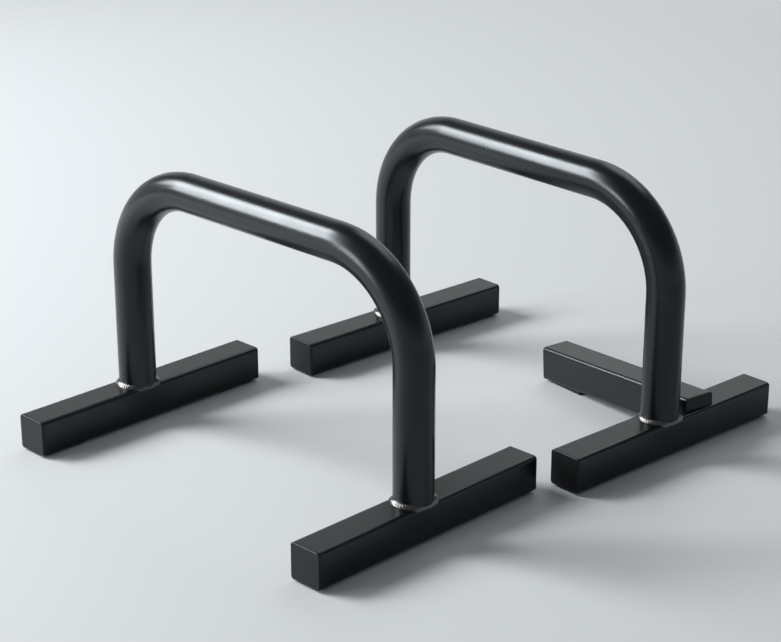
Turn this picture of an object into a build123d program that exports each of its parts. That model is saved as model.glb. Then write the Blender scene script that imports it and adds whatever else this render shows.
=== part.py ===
from build123d import *
from math import asin, cos, degrees, radians, sin, tan
import os

# Pair of low parallel bars, and the loose prop bar that hooks over one of their feet.
# Each frame is a bent round tube, welded to two square feet with plugged ends and rubber pads.
# Millimetres, +Z up, floor at Z = 0. A handle runs along X and its feet run along Y.

# Handle: steel tube bent to an upside-down U
TUBE_DIAMETER = 42.4
TUBE_WALL = 2.6
BEND_RADIUS = 106.0
LEG_SPACING = 437.0
TOTAL_HEIGHT = 310.0

# Feet and prop bar: square steel section; the legs stand a setback in front of the feet's middle
SECTION = 40.0
SECTION_WALL = 2.0
SECTION_CORNER = 4.0
FOOT_LENGTH = 315.0
FOOT_SETBACK = 8.0

# Plug-in end caps
CAP_FLANGE = 3.0
CAP_EDGE_RADIUS = 1.0
CAP_PLUG_DEPTH = 15.0
CAP_PLUG_WALL = 2.0
CAP_CLEARANCE = 0.4
CAP_FIN_COUNT = 3
CAP_FIN_THICKNESS = 1.2
CAP_FIN_PITCH = 4.0

# Stick-on rubber pads
PAD_THICKNESS = 2.0
PAD_LENGTH = 55.0
PAD_MARGIN = 1.0
PAD_INSET = 6.0
PAD_CORNER = 3.0

# Fillet weld round the foot of each leg
BEAD_SIZE = 5.0
BEAD_BULGE = 0.6
BEAD_SIDE = 1.2

# Where the far frame stands, seen from the near one
PAIR_GAP = 37.0
PAIR_SHIFT = 47.0
PAIR_YAW = -3.5

# Prop bar: one end on the floor, the other notched over the far frame's right foot
PROP_LENGTH = 242.0
PROP_YAW = -5.2
PROP_NECK = 15.3
PROP_SETBACK = 1.8
PROP_WELD_GAP = 4.0
PROP_CLEARANCE = 0.5

TUBE_RADIUS = TUBE_DIAMETER / 2
FOOT_TOP = PAD_THICKNESS + SECTION
FOOT_MIDDLE = PAD_THICKNESS + SECTION / 2
HANDLE_AXIS_HEIGHT = TOTAL_HEIGHT - TUBE_RADIUS
SECTION_FLAT = SECTION - 2 * SECTION_CORNER
BORE = SECTION - 2 * SECTION_WALL
BORE_CORNER = max(SECTION_CORNER - SECTION_WALL, SECTION_WALL / 4)
BEAD_TOE = TUBE_RADIUS + BEAD_SIZE
PAIR_SPACING = FOOT_LENGTH + PAIR_GAP


def square_section(length):
    """Hollow square section along +Z, standing on the XY plane."""
    outer = RectangleRounded(SECTION, SECTION, SECTION_CORNER)
    return extrude(outer - RectangleRounded(BORE, BORE, BORE_CORNER), length)


def end_cap():
    """Cap for a square section: flange above the XY plane, finned hollow plug below it."""
    flange = extrude(RectangleRounded(SECTION, SECTION, SECTION_CORNER), CAP_FLANGE)
    flange = fillet(flange.faces().sort_by(Axis.Z)[-1].edges(), CAP_EDGE_RADIUS)
    plug_size = BORE - 2 * CAP_CLEARANCE
    plug = RectangleRounded(plug_size, plug_size, BORE_CORNER)
    pocket_size = plug_size - 2 * CAP_PLUG_WALL
    pocket = RectangleRounded(pocket_size, pocket_size, BORE_CORNER)
    cap = flange + extrude(plug - pocket, -CAP_PLUG_DEPTH)
    fin = extrude(RectangleRounded(BORE, BORE, BORE_CORNER) - pocket, -CAP_FIN_THICKNESS)
    for i in range(CAP_FIN_COUNT):
        cap += Pos(0, 0, -(i + 1) * CAP_FIN_PITCH) * fin
    return cap


def handle():
    """Bent tube, cut square at both ends on top of the feet."""
    half = LEG_SPACING / 2
    route = FilletPolyline(
        (-half, 0, FOOT_TOP),
        (-half, 0, HANDLE_AXIS_HEIGHT),
        (half, 0, HANDLE_AXIS_HEIGHT),
        (half, 0, FOOT_TOP),
        radius=BEND_RADIUS,
    )
    ring = Circle(TUBE_RADIUS) - Circle(TUBE_RADIUS - TUBE_WALL)
    return sweep(Plane(origin=route @ 0, z_dir=route % 0) * ring, path=route)


def foot(x):
    """Square foot under the leg at x, without its caps."""
    length = FOOT_LENGTH - 2 * CAP_FLANGE
    front = Plane(origin=(x, FOOT_SETBACK - length / 2, FOOT_MIDDLE), x_dir=(1, 0, 0), z_dir=(0, 1, 0))
    return front * square_section(length)


def foot_cap(x, side):
    """Cap in the front (side = -1) or rear (side = 1) end of the foot at x."""
    seat = FOOT_SETBACK + side * (FOOT_LENGTH / 2 - CAP_FLANGE)
    return Plane(origin=(x, seat, FOOT_MIDDLE), x_dir=(1, 0, 0), z_dir=(0, side, 0)) * end_cap()


def foot_pad(x, side):
    """Rubber pad under one end of the foot at x, on the flat of the section."""
    outline = RectangleRounded(SECTION_FLAT - 2 * PAD_MARGIN, PAD_LENGTH, PAD_CORNER)
    y = FOOT_SETBACK + side * (FOOT_LENGTH / 2 - PAD_INSET - PAD_LENGTH / 2)
    return Pos(x, y, 0) * extrude(outline, PAD_THICKNESS)


def weld_bead(x):
    """Fillet weld round the leg at x, drawn down over the rounded edges of the foot."""
    crown = FOOT_TOP + BEAD_SIZE
    bulge = TUBE_RADIUS + BEAD_SIZE / 2 + BEAD_BULGE
    profile = Polyline((TUBE_RADIUS, 0, crown), (TUBE_RADIUS, 0, FOOT_TOP), (BEAD_TOE, 0, FOOT_TOP))
    profile += ThreePointArc(
        (BEAD_TOE, 0, FOOT_TOP),
        (bulge, 0, FOOT_TOP + BEAD_SIZE / 2 + BEAD_BULGE),
        (TUBE_RADIUS, 0, crown),
    )
    fillet_ring = revolve(make_face(profile), Axis.Z)
    skirt = Pos(0, 0, FOOT_TOP) * extrude(
        Circle(TUBE_RADIUS + BEAD_SIDE) - Circle(TUBE_RADIUS - TUBE_WALL), -SECTION_CORNER
    )
    width = 2 * (TUBE_RADIUS + BEAD_SIDE)
    reach = Pos(0, 0, FOOT_TOP) * Box(width, 3 * BEAD_TOE, 4 * BEAD_SIZE)
    foot_block = Plane(origin=(0, -BEAD_TOE, FOOT_MIDDLE), x_dir=(1, 0, 0), z_dir=(0, 1, 0)) * extrude(
        RectangleRounded(SECTION, SECTION, SECTION_CORNER), 2 * BEAD_TOE
    )
    return Pos(x, 0, 0) * ((fillet_ring + skirt) & reach) - Pos(x, 0, 0) * foot_block


def frame_pieces():
    """One frame, centred between its legs: piece name to solid."""
    pieces = {"handle": handle()}
    for side_name, x in (("left", -LEG_SPACING / 2), ("right", LEG_SPACING / 2)):
        pieces[f"{side_name}_foot"] = foot(x)
        pieces[f"{side_name}_weld"] = weld_bead(x)
        for end_name, side in (("front", -1), ("rear", 1)):
            pieces[f"{side_name}_foot_{end_name}_cap"] = foot_cap(x, side)
            pieces[f"{side_name}_foot_{end_name}_pad"] = foot_pad(x, side)
    return pieces


def prop_pieces():
    """Prop bar where it lies against the far frame, in that frame's own axes."""
    slope = asin(PROP_NECK / PROP_LENGTH)
    yaw = radians(PROP_YAW)
    foot_outside = (LEG_SPACING + SECTION) / 2
    start_x = foot_outside - PROP_SETBACK - PROP_LENGTH * cos(slope) * cos(yaw) + SECTION * sin(yaw)
    start_y = (BEAD_TOE + PROP_WELD_GAP) / cos(yaw) - (LEG_SPACING / 2 - start_x) * tan(yaw)
    stand = Pos(start_x, start_y, 0) * Rot(0, 0, PROP_YAW)
    tilt = stand * Pos(0, 0, PAD_THICKNESS) * Rot(0, -degrees(slope), 0)
    towards_foot = tilt * Pos(0, SECTION / 2, SECTION / 2) * Rot(0, 90, 0)
    towards_floor = tilt * Pos(CAP_FLANGE, SECTION / 2, SECTION / 2) * Rot(0, -90, 0)
    seat_end = Pos(0, 0, PROP_LENGTH - CAP_FLANGE)
    bar = towards_foot * Pos(0, 0, CAP_FLANGE) * square_section(PROP_LENGTH - 2 * CAP_FLANGE)

    inner_face = foot_outside - SECTION - PROP_CLEARANCE
    reach = 2 * SECTION
    notch = Pos(inner_face + reach, start_y, FOOT_TOP - reach) * Box(2 * reach, 2 * reach, 2 * reach)

    outline = RectangleRounded(PAD_LENGTH, SECTION_FLAT - 2 * PAD_MARGIN, PAD_CORNER)
    wedge = stand * Pos(PAD_INSET + PAD_LENGTH / 2, SECTION / 2, 0) * extrude(outline, SECTION / 2)
    bar_block = towards_foot * extrude(Rectangle(SECTION, SECTION), PROP_LENGTH)
    return {
        "bar": bar - notch,
        "floor_cap": towards_floor * end_cap(),
        "seat_cap": towards_foot * seat_end * end_cap() - notch,
        "pad": wedge - bar_block,
    }


far_place = Pos(PAIR_SHIFT, PAIR_SPACING, 0) * Rot(0, 0, PAIR_YAW)
pieces = {f"near_{name}": solid for name, solid in frame_pieces().items()}
pieces.update({f"far_{name}": far_place * solid for name, solid in frame_pieces().items()})
pieces.update({f"prop_{name}": far_place * solid for name, solid in prop_pieces().items()})

extent = Compound(list(pieces.values())).bounding_box()
centre = extent.center()
origin_shift = Pos(-centre.X, -centre.Y, -extent.min.Z)

os.makedirs("parts", exist_ok=True)
for name, solid in pieces.items():
    export_step(origin_shift * solid, f"parts/{name}.step")
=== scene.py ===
import bpy
from math import cos, pi, radians, sin, sqrt
from mathutils import Matrix, Vector


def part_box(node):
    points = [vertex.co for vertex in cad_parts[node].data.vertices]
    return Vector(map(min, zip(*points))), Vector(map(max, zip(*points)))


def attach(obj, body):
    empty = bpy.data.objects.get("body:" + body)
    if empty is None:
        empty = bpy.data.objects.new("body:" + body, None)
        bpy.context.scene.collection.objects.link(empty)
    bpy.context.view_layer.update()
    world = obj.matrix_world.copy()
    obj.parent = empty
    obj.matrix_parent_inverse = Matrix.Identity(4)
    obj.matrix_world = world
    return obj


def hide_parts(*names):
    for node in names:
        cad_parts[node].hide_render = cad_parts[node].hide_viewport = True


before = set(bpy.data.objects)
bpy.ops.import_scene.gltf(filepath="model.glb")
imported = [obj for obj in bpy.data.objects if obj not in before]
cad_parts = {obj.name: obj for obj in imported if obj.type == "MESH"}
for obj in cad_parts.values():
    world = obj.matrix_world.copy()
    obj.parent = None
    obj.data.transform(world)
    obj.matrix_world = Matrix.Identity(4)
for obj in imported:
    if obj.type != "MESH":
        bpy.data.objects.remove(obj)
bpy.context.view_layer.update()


# ---- Handles -------------------------------------------------------------------------------------
# Each is one length of round steel tube, bent cold to an upside-down U, then blasted and sprayed
# with black polyester powder together with its feet. The powder melts in the oven to a satin skin.

TUBE_RADIUS, TUBE_WALL = 0.0212, 0.0026              # 42.4 x 2.6 mm tube
BEND_RADIUS = 0.106                                  # to the centre line, two and a half tube diameters
LEG_HALF_SPACING = 0.2185                            # legs are 437 mm apart, centre to centre
FRAME_YAW = {"near": 0.0, "far": radians(-3.5)}      # the far frame stands a little askew


def linear(colour):
    """Linear RGBA of an sRGB hex colour."""
    channels = [int(colour[i:i + 2], 16) / 255 for i in (1, 3, 5)]
    return [c / 12.92 if c <= 0.04045 else ((c + 0.055) / 1.055) ** 2.4 for c in channels] + [1.0]


def add(tree, kind, settings=None, **links):
    """Adds a node with its settings; each link names an input (inN by number) and what feeds or fills it."""
    node = tree.nodes.new(kind)
    for name, value in (settings or {}).items():
        setattr(node, name, value)
    for name, source in links.items():
        socket = node.inputs[int(name[2:])] if name[:2] == "in" else node.inputs[name.replace("_", " ")]
        if isinstance(source, bpy.types.NodeSocket):
            tree.links.new(source, socket)
        else:
            socket.default_value = source
    return node


def new_material(name):
    """Empty node material; returns it with its tree."""
    material = bpy.data.materials.new(name)
    material.use_nodes = True
    material.node_tree.nodes.clear()
    return material, material.node_tree


def waves(size_mm):
    """Noise scale, in waves per metre, of a pattern whose waves are this many millimetres long."""
    return 1000.0 / size_mm


def powder_coat():
    """Satin black powder coat: deep cool black, soft broad reflections that a faint orange peel breaks up."""
    peel_mm, cloud_mm = 2.4, 45.0                    # orange peel, and slow changes in the film's thickness
    mist_mm = 0.9                                    # single powder grains are 0.05 mm; drawn coarser to show
    material, tree = new_material("satin_black_powder_coat")
    place = add(tree, "ShaderNodeTexCoord").outputs["Object"]
    peel = add(tree, "ShaderNodeTexNoise", Vector=place, Scale=waves(peel_mm), Detail=1.5, Roughness=0.4)
    mist = add(tree, "ShaderNodeTexNoise", Vector=place, Scale=waves(mist_mm), Detail=1.0)
    cloud = add(tree, "ShaderNodeTexNoise", Vector=place, Scale=waves(cloud_mm), Detail=4.0)
    film = add(tree, "ShaderNodeMapRange", Value=cloud.outputs["Fac"], From_Min=0.3, From_Max=0.7)
    black = add(
        tree, "ShaderNodeMix", {"data_type": "RGBA"},
        in0=film.outputs["Result"], in6=linear("#060708"), in7=linear("#0A0B0C"),
    )
    satin = add(tree, "ShaderNodeMapRange", Value=film.outputs["Result"], To_Min=0.24, To_Max=0.28)
    peel_relief = add(tree, "ShaderNodeBump", Strength=0.3, Distance=0.00003, Height=peel.outputs["Fac"])
    relief = add(
        tree, "ShaderNodeBump",
        Strength=0.15, Distance=0.00001, Height=mist.outputs["Fac"], Normal=peel_relief.outputs["Normal"],
    )
    skin = add(
        tree, "ShaderNodeBsdfPrincipled",
        Base_Color=black.outputs[2], Roughness=satin.outputs["Result"], IOR=1.5,
        Specular_IOR_Level=0.42, Specular_Tint=linear("#EAF6FC"), Normal=relief.outputs["Normal"],
    )
    add(tree, "ShaderNodeOutputMaterial", Surface=skin.outputs["BSDF"])
    return material


def coat(node, material):
    """Gives one CAD node its finish."""
    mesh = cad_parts[node].data
    mesh.materials.clear()
    mesh.materials.append(material)


def grid_piece(name, rows, material):
    """Smooth closed mesh from rows of points, joined along each row and from the last row to the first."""
    ring, count = len(rows[0]), len(rows)
    faces = []
    for i in range(count):
        here, after = i * ring, (i + 1) % count * ring
        for j in range(ring):
            along = (j + 1) % ring
            faces.append((here + j, here + along, after + along, after + j))
    mesh = bpy.data.meshes.new(name)
    mesh.from_pydata([point for row in rows for point in row], [], faces)
    mesh.polygons.foreach_set("use_smooth", [True] * len(faces))
    mesh.materials.append(material)
    piece = bpy.data.objects.new(name, mesh)
    bpy.context.collection.objects.link(piece)
    return piece


def handle_line(bottom, top):
    """Centre line of a handle in its own plane: place across, height, and lean of the section there."""
    bend_steps, rim = 40, 0.001                      # rim keeps the cut end's shading off the leg
    stops = [(-LEG_HALF_SPACING, bottom, 0.0), (-LEG_HALF_SPACING, bottom + rim, 0.0)]
    for hand in (-1, 1):
        for i in range(bend_steps + 1):
            lean = pi / 2 * (i / bend_steps + (hand == 1))
            across = hand * (LEG_HALF_SPACING - BEND_RADIUS) - BEND_RADIUS * cos(lean)
            stops.append((across, top - BEND_RADIUS + BEND_RADIUS * sin(lean), lean))
    stops += [(LEG_HALF_SPACING, bottom + rim, pi), (LEG_HALF_SPACING, bottom, pi)]
    return stops


def bent_handle(side):
    """Tube swept along a handle's line, outside and bore, where the CAD handle stands."""
    low, high = (Vector(corner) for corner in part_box(f"{side}_handle"))
    centre, yaw, round_steps = (low + high) / 2, FRAME_YAW[side], 96
    stops = handle_line(low.z, high.z - TUBE_RADIUS)

    def section(stop, radius):
        across, height, lean = stop
        points = []
        for j in range(round_steps):
            angle = 2 * pi * j / round_steps
            out, deep = radius * cos(angle), -radius * sin(angle)
            x, z = across - out * cos(lean), height + out * sin(lean)
            points.append((
                centre.x + x * cos(yaw) - deep * sin(yaw), centre.y + x * sin(yaw) + deep * cos(yaw), z,
            ))
        return points

    rows = [section(stop, TUBE_RADIUS) for stop in stops]
    rows += [section(stop, TUBE_RADIUS - TUBE_WALL) for stop in reversed(stops)]
    handle = grid_piece(f"{side}_bent_handle", rows, black_coat)
    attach(handle, f"{side}_frame")
    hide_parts(f"{side}_handle")


black_coat = powder_coat()
for side in ("near", "far"):
    bent_handle(side)


# ---- Feet ----------------------------------------------------------------------------------------
# Four cut lengths of 40 mm square tube with rounded corners, under the legs. They hang in the same
# booth as the handles, so the same skin of powder runs over tube, weld and foot without a break.

FOOT_HALF, FOOT_CORNER = 0.020, 0.004                # half the section's width, and its corner radius

for side in ("near", "far"):
    for hand in ("left", "right"):
        coat(f"{side}_{hand}_foot", black_coat)


# ---- Welds ---------------------------------------------------------------------------------------
# One fillet bead goes round each leg where it stands on its foot, laid in short steps that leave
# overlapping ripples. Powder pools on it, so it is glossier than the bars and catches the light.

def bead_gloss():
    """Pooled powder over a weld: the same black, wet-looking, so each ripple shows a small glint."""
    speck_mm = 1.2                                   # spatter dust under the coat, drawn coarser than it is
    material, tree = new_material("pooled_black_powder_coat")
    place = add(tree, "ShaderNodeTexCoord").outputs["Object"]
    speck = add(tree, "ShaderNodeTexNoise", Vector=place, Scale=waves(speck_mm), Detail=2.0)
    pool = add(tree, "ShaderNodeMapRange", Value=speck.outputs["Fac"], From_Min=0.3, From_Max=0.7)
    black = add(
        tree, "ShaderNodeMix", {"data_type": "RGBA"},
        in0=pool.outputs["Result"], in6=linear("#101213"), in7=linear("#191B1C"),
    )
    gloss = add(tree, "ShaderNodeMapRange", Value=pool.outputs["Result"], To_Min=0.2, To_Max=0.28)
    relief = add(tree, "ShaderNodeBump", Strength=0.4, Distance=0.00008, Height=speck.outputs["Fac"])
    skin = add(
        tree, "ShaderNodeBsdfPrincipled",
        Base_Color=black.outputs[2], Roughness=gloss.outputs["Result"], IOR=1.5, Specular_IOR_Level=0.9,
        Coat_Weight=0.5, Coat_Roughness=0.18, Coat_IOR=1.5, Normal=relief.outputs["Normal"],
    )
    add(tree, "ShaderNodeOutputMaterial", Surface=skin.outputs["BSDF"])
    return material


def ripple(turn, along):
    """Height of the ripples, 0 to 1: crescents that lean forwards in the middle of the bead."""
    steps, lean, crest = 50, 0.45, 0.6               # one every 3 mm round the leg, steep on the leading side
    phase = (turn * steps + lean * sin(pi * along)) % 1.0
    return sin(pi * phase ** crest) * sin(pi * along)


def weld_bead(name, body, material):
    """Rippled fillet round a leg, from its side down to the foot, in the box of the CAD bead."""
    low, high = (Vector(corner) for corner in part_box(name))
    foot_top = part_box(name.replace("weld", "foot"))[1][2]
    centre = (low + high) / 2
    toe, crown, inset = 0.0044, 0.0004, 0.0012       # leg length, bulge, and how deep the back goes in
    ripple_height, unevenness = 0.00025, 0.00018
    pinch_from, pinch_depth = 0.72, 0.82             # from this far out, it narrows by up to this share
    corner_end = 0.97                                # it stops short of where the foot's side turns plumb
    sunk, diagonal = 0.0001, 0.7                     # edges go this far into the steel; bulge at 45 degrees
    turn_steps, across_steps = 400, 10
    yaw = FRAME_YAW[body.split("_")[0]]
    rows = []
    for i in range(turn_steps):
        angle = 2 * pi * i / turn_steps
        slow, quick = sin(3 * angle + 0.7), sin(7 * angle + 2.1)     # waves in the welder's hand
        wander = unevenness * (slow + 0.6 * quick) / 1.6
        pinch = min(max((abs(cos(angle)) - pinch_from) / (1 - pinch_from), 0.0), 1.0)
        leg = (toe + wander) * (1 - pinch_depth * pinch * pinch * (3 - 2 * pinch))
        reach = TUBE_RADIUS + leg
        over = min(max(abs(cos(angle)) * reach - (FOOT_HALF - FOOT_CORNER), 0.0), FOOT_CORNER * corner_end)
        toe_height = foot_top - FOOT_CORNER + sqrt(FOOT_CORNER ** 2 - over ** 2) - sunk
        top_height = foot_top + leg
        row = []
        for j in range(across_steps + 1):
            along = j / across_steps
            swell = (crown * sin(pi * along) + ripple_height * ripple(i / turn_steps, along)) * leg / toe
            radius = TUBE_RADIUS - sunk + leg * along + swell * diagonal
            height = top_height + (toe_height - top_height) * along + swell * diagonal
            row.append((radius, height))
        row.append((TUBE_RADIUS - inset, toe_height))
        row.append((TUBE_RADIUS - inset, top_height - inset))
        rows.append([
            (centre.x + r * cos(angle + yaw), centre.y + r * sin(angle + yaw), h) for r, h in row
        ])
    bead = grid_piece(f"{name}_bead", rows, material)
    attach(bead, body)
    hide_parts(name)


bead_coat = bead_gloss()
for side in ("near", "far"):
    for hand in ("left", "right"):
        weld_bead(f"{side}_{hand}_weld", f"{side}_frame", bead_coat)


# ---- Prop bar ------------------------------------------------------------------------------------
# A loose length of the same square tube, notched underneath so that it hooks over the far foot.
# It is cut, notched and powder coated like the feet.

coat("prop_bar", black_coat)


# ---- End caps ------------------------------------------------------------------------------------
# Injection moulded black polyethylene plugs, pushed into the open ends of every square tube. The
# mould was spark eroded, so they are a touch greyer and duller than the coat beside them.

def cap_plastic():
    """Moulded black polyethylene: even black with a fine matt grain and a slight waxy sheen."""
    grain_mm, flow_mm = 0.8, 14.0                    # spark grain is nearer 0.1 mm; drawn coarser to show
    material, tree = new_material("moulded_black_polyethylene")
    place = add(tree, "ShaderNodeTexCoord").outputs["Object"]
    grain = add(tree, "ShaderNodeTexNoise", Vector=place, Scale=waves(grain_mm), Detail=3.0)
    flow = add(tree, "ShaderNodeTexNoise", Vector=place, Scale=waves(flow_mm), Detail=2.0)
    streak = add(tree, "ShaderNodeMapRange", Value=flow.outputs["Fac"], From_Min=0.3, From_Max=0.7)
    black = add(
        tree, "ShaderNodeMix", {"data_type": "RGBA"},
        in0=streak.outputs["Result"], in6=linear("#08090A"), in7=linear("#0E1011"),
    )
    matt = add(
        tree, "ShaderNodeMapRange",
        Value=grain.outputs["Fac"], From_Min=0.3, From_Max=0.7, To_Min=0.36, To_Max=0.44,
    )
    relief = add(tree, "ShaderNodeBump", Strength=0.35, Distance=0.00005, Height=grain.outputs["Fac"])
    skin = add(
        tree, "ShaderNodeBsdfPrincipled",
        Base_Color=black.outputs[2], Roughness=matt.outputs["Result"], IOR=1.51,
        Specular_IOR_Level=0.3, Specular_Tint=linear("#EAF6FC"), Normal=relief.outputs["Normal"],
    )
    add(tree, "ShaderNodeOutputMaterial", Surface=skin.outputs["BSDF"])
    return material


cap_black = cap_plastic()
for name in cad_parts:
    if name.endswith("_cap"):
        coat(name, cap_black)


# ---- Floor pads ----------------------------------------------------------------------------------
# Thin die-cut rubber pads, glued under both ends of each foot and, as a wedge, under the low end of
# the prop bar. Vulcanised rubber sheet, dusty and fully matt.

def pad_rubber():
    """Black rubber sheet: matt, slightly brown-grey from talc, with a cloth-pressed pebble."""
    pebble_mm, dust_mm = 1.5, 9.0                    # the pressing cloth's weave, and drifts of talc
    material, tree = new_material("matt_black_rubber")
    place = add(tree, "ShaderNodeTexCoord").outputs["Object"]
    pebble = add(tree, "ShaderNodeTexVoronoi", Vector=place, Scale=waves(pebble_mm))
    dust = add(tree, "ShaderNodeTexNoise", Vector=place, Scale=waves(dust_mm), Detail=5.0)
    talc = add(tree, "ShaderNodeMapRange", Value=dust.outputs["Fac"], From_Min=0.3, From_Max=0.7)
    dusty = add(
        tree, "ShaderNodeMix", {"data_type": "RGBA"},
        in0=talc.outputs["Result"], in6=linear("#121212"), in7=linear("#22211F"),
    )
    matt = add(tree, "ShaderNodeMapRange", Value=talc.outputs["Result"], To_Min=0.78, To_Max=0.92)
    relief = add(tree, "ShaderNodeBump", Strength=0.6, Distance=0.0002, Height=pebble.outputs["Distance"])
    skin = add(
        tree, "ShaderNodeBsdfPrincipled",
        Base_Color=dusty.outputs[2], Roughness=matt.outputs["Result"], IOR=1.52,
        Normal=relief.outputs["Normal"],
    )
    add(tree, "ShaderNodeOutputMaterial", Surface=skin.outputs["BSDF"])
    return material


rubber = pad_rubber()
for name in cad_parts:
    if name.endswith("_pad"):
        coat(name, rubber)


# ---- Studio --------------------------------------------------------------------------------------
# Not part of the object: a seamless pale sheet in a room with pale walls and a dim ceiling. A tall key
# softbox, with one each side of it, stands at the front left, and two dim panels fill from the back.

def studio_floor():
    """Pale seamless paper, matt and even, which fades out into the pale room well away from the set."""
    half, fade_from, fade_to = 4.0, 1.9, 3.2         # half its width, and the fade, from the middle out
    mesh = bpy.data.meshes.new("studio_floor")
    corners = [(-half, -half, 0), (half, -half, 0), (half, half, 0), (-half, half, 0)]
    mesh.from_pydata(corners, [], [(0, 1, 2, 3)])
    floor = bpy.data.objects.new("studio_floor", mesh)
    bpy.context.collection.objects.link(floor)
    material, tree = new_material("pale_paper")
    place = add(tree, "ShaderNodeTexCoord").outputs["Object"]
    away = add(tree, "ShaderNodeVectorMath", {"operation": "LENGTH"}, in0=place)
    fade = add(
        tree, "ShaderNodeMapRange", {"interpolation_type": "SMOOTHSTEP"},
        Value=away.outputs["Value"], From_Min=fade_from, From_Max=fade_to,
    )
    paper = add(tree, "ShaderNodeBsdfPrincipled", Base_Color=linear("#C6CACD"), Roughness=0.6)
    clear = add(tree, "ShaderNodeBsdfTransparent")
    mix = add(
        tree, "ShaderNodeMixShader",
        in0=fade.outputs["Result"], in1=paper.outputs["BSDF"], in2=clear.outputs["BSDF"],
    )
    add(tree, "ShaderNodeOutputMaterial", Surface=mix.outputs["Shader"])
    mesh.materials.append(material)
    return floor


def softbox(name, place, aim, size, power, long_way=(0, 0, 1)):
    """Rectangular area lamp at place, facing aim, with its second size along long_way."""
    lamp = bpy.data.lights.new(name, "AREA")
    lamp.shape = "RECTANGLE"
    lamp.size, lamp.size_y = size
    lamp.energy = power
    holder = bpy.data.objects.new(name, lamp)
    back = (Vector(place) - Vector(aim)).normalized()
    across = Vector(long_way).cross(back).normalized()
    turn = Matrix((across, back.cross(across), back)).transposed()
    holder.matrix_world = Matrix.Translation(place) @ turn.to_4x4()
    bpy.context.collection.objects.link(holder)


SET_MIDDLE, BEHIND_SET = (0, 0, 0.1), (0, 0.8, 0)    # what the lamps face
KEY_LEAN = (0, 0.713, 0.701)                         # the key leans over, its top towards the set's back
studio_floor()
softbox("key_softbox", place=(-2.6, -1.92, 2.2), aim=SET_MIDDLE, size=(0.8, 2.7), power=186, long_way=KEY_LEAN)
softbox("left_softbox", place=(-4.1, -1.57, 2.65), aim=SET_MIDDLE, size=(1.2, 1.7), power=66)
softbox("low_softbox", place=(-1.68, -3.29, 0.9), aim=SET_MIDDLE, size=(0.8, 1.2), power=40)
softbox("back_panel", place=(-2.17, 2.23, 1.4), aim=SET_MIDDLE, size=(3.6, 2.0), power=11)
softbox("ceiling_panel", place=(-0.6, 2.4, 2.8), aim=BEHIND_SET, size=(2.0, 2.0), power=20)

world = bpy.data.worlds.new("studio_room")
world.use_nodes = True
room = world.node_tree
way = add(room, "ShaderNodeSeparateXYZ", Vector=add(room, "ShaderNodeTexCoord").outputs["Generated"])
rise = add(room, "ShaderNodeMapRange", Value=way.outputs["Z"], From_Min=0.06, From_Max=0.3)
walls = add(
    room, "ShaderNodeMix", {"data_type": "RGBA"},
    in0=rise.outputs["Result"], in6=linear("#D2D6D9"), in7=linear("#7A7D7F"),
)
room.links.new(walls.outputs[2], room.nodes["Background"].inputs["Color"])
bpy.context.scene.world = world

CAMERA_DROP, CAMERA_TURN = 20.943, 44.725            # degrees below level, and round from facing +Y
camera = bpy.data.objects.new("camera", bpy.data.cameras.new("camera"))
camera.data.lens = 96.21
camera.location = (1.5031, -1.5482, 0.9554)
camera.rotation_euler = (radians(90 - CAMERA_DROP), 0, radians(CAMERA_TURN))
bpy.context.collection.objects.link(camera)
bpy.context.scene.camera = camera
bpy.context.scene.view_settings.view_transform = "Standard"
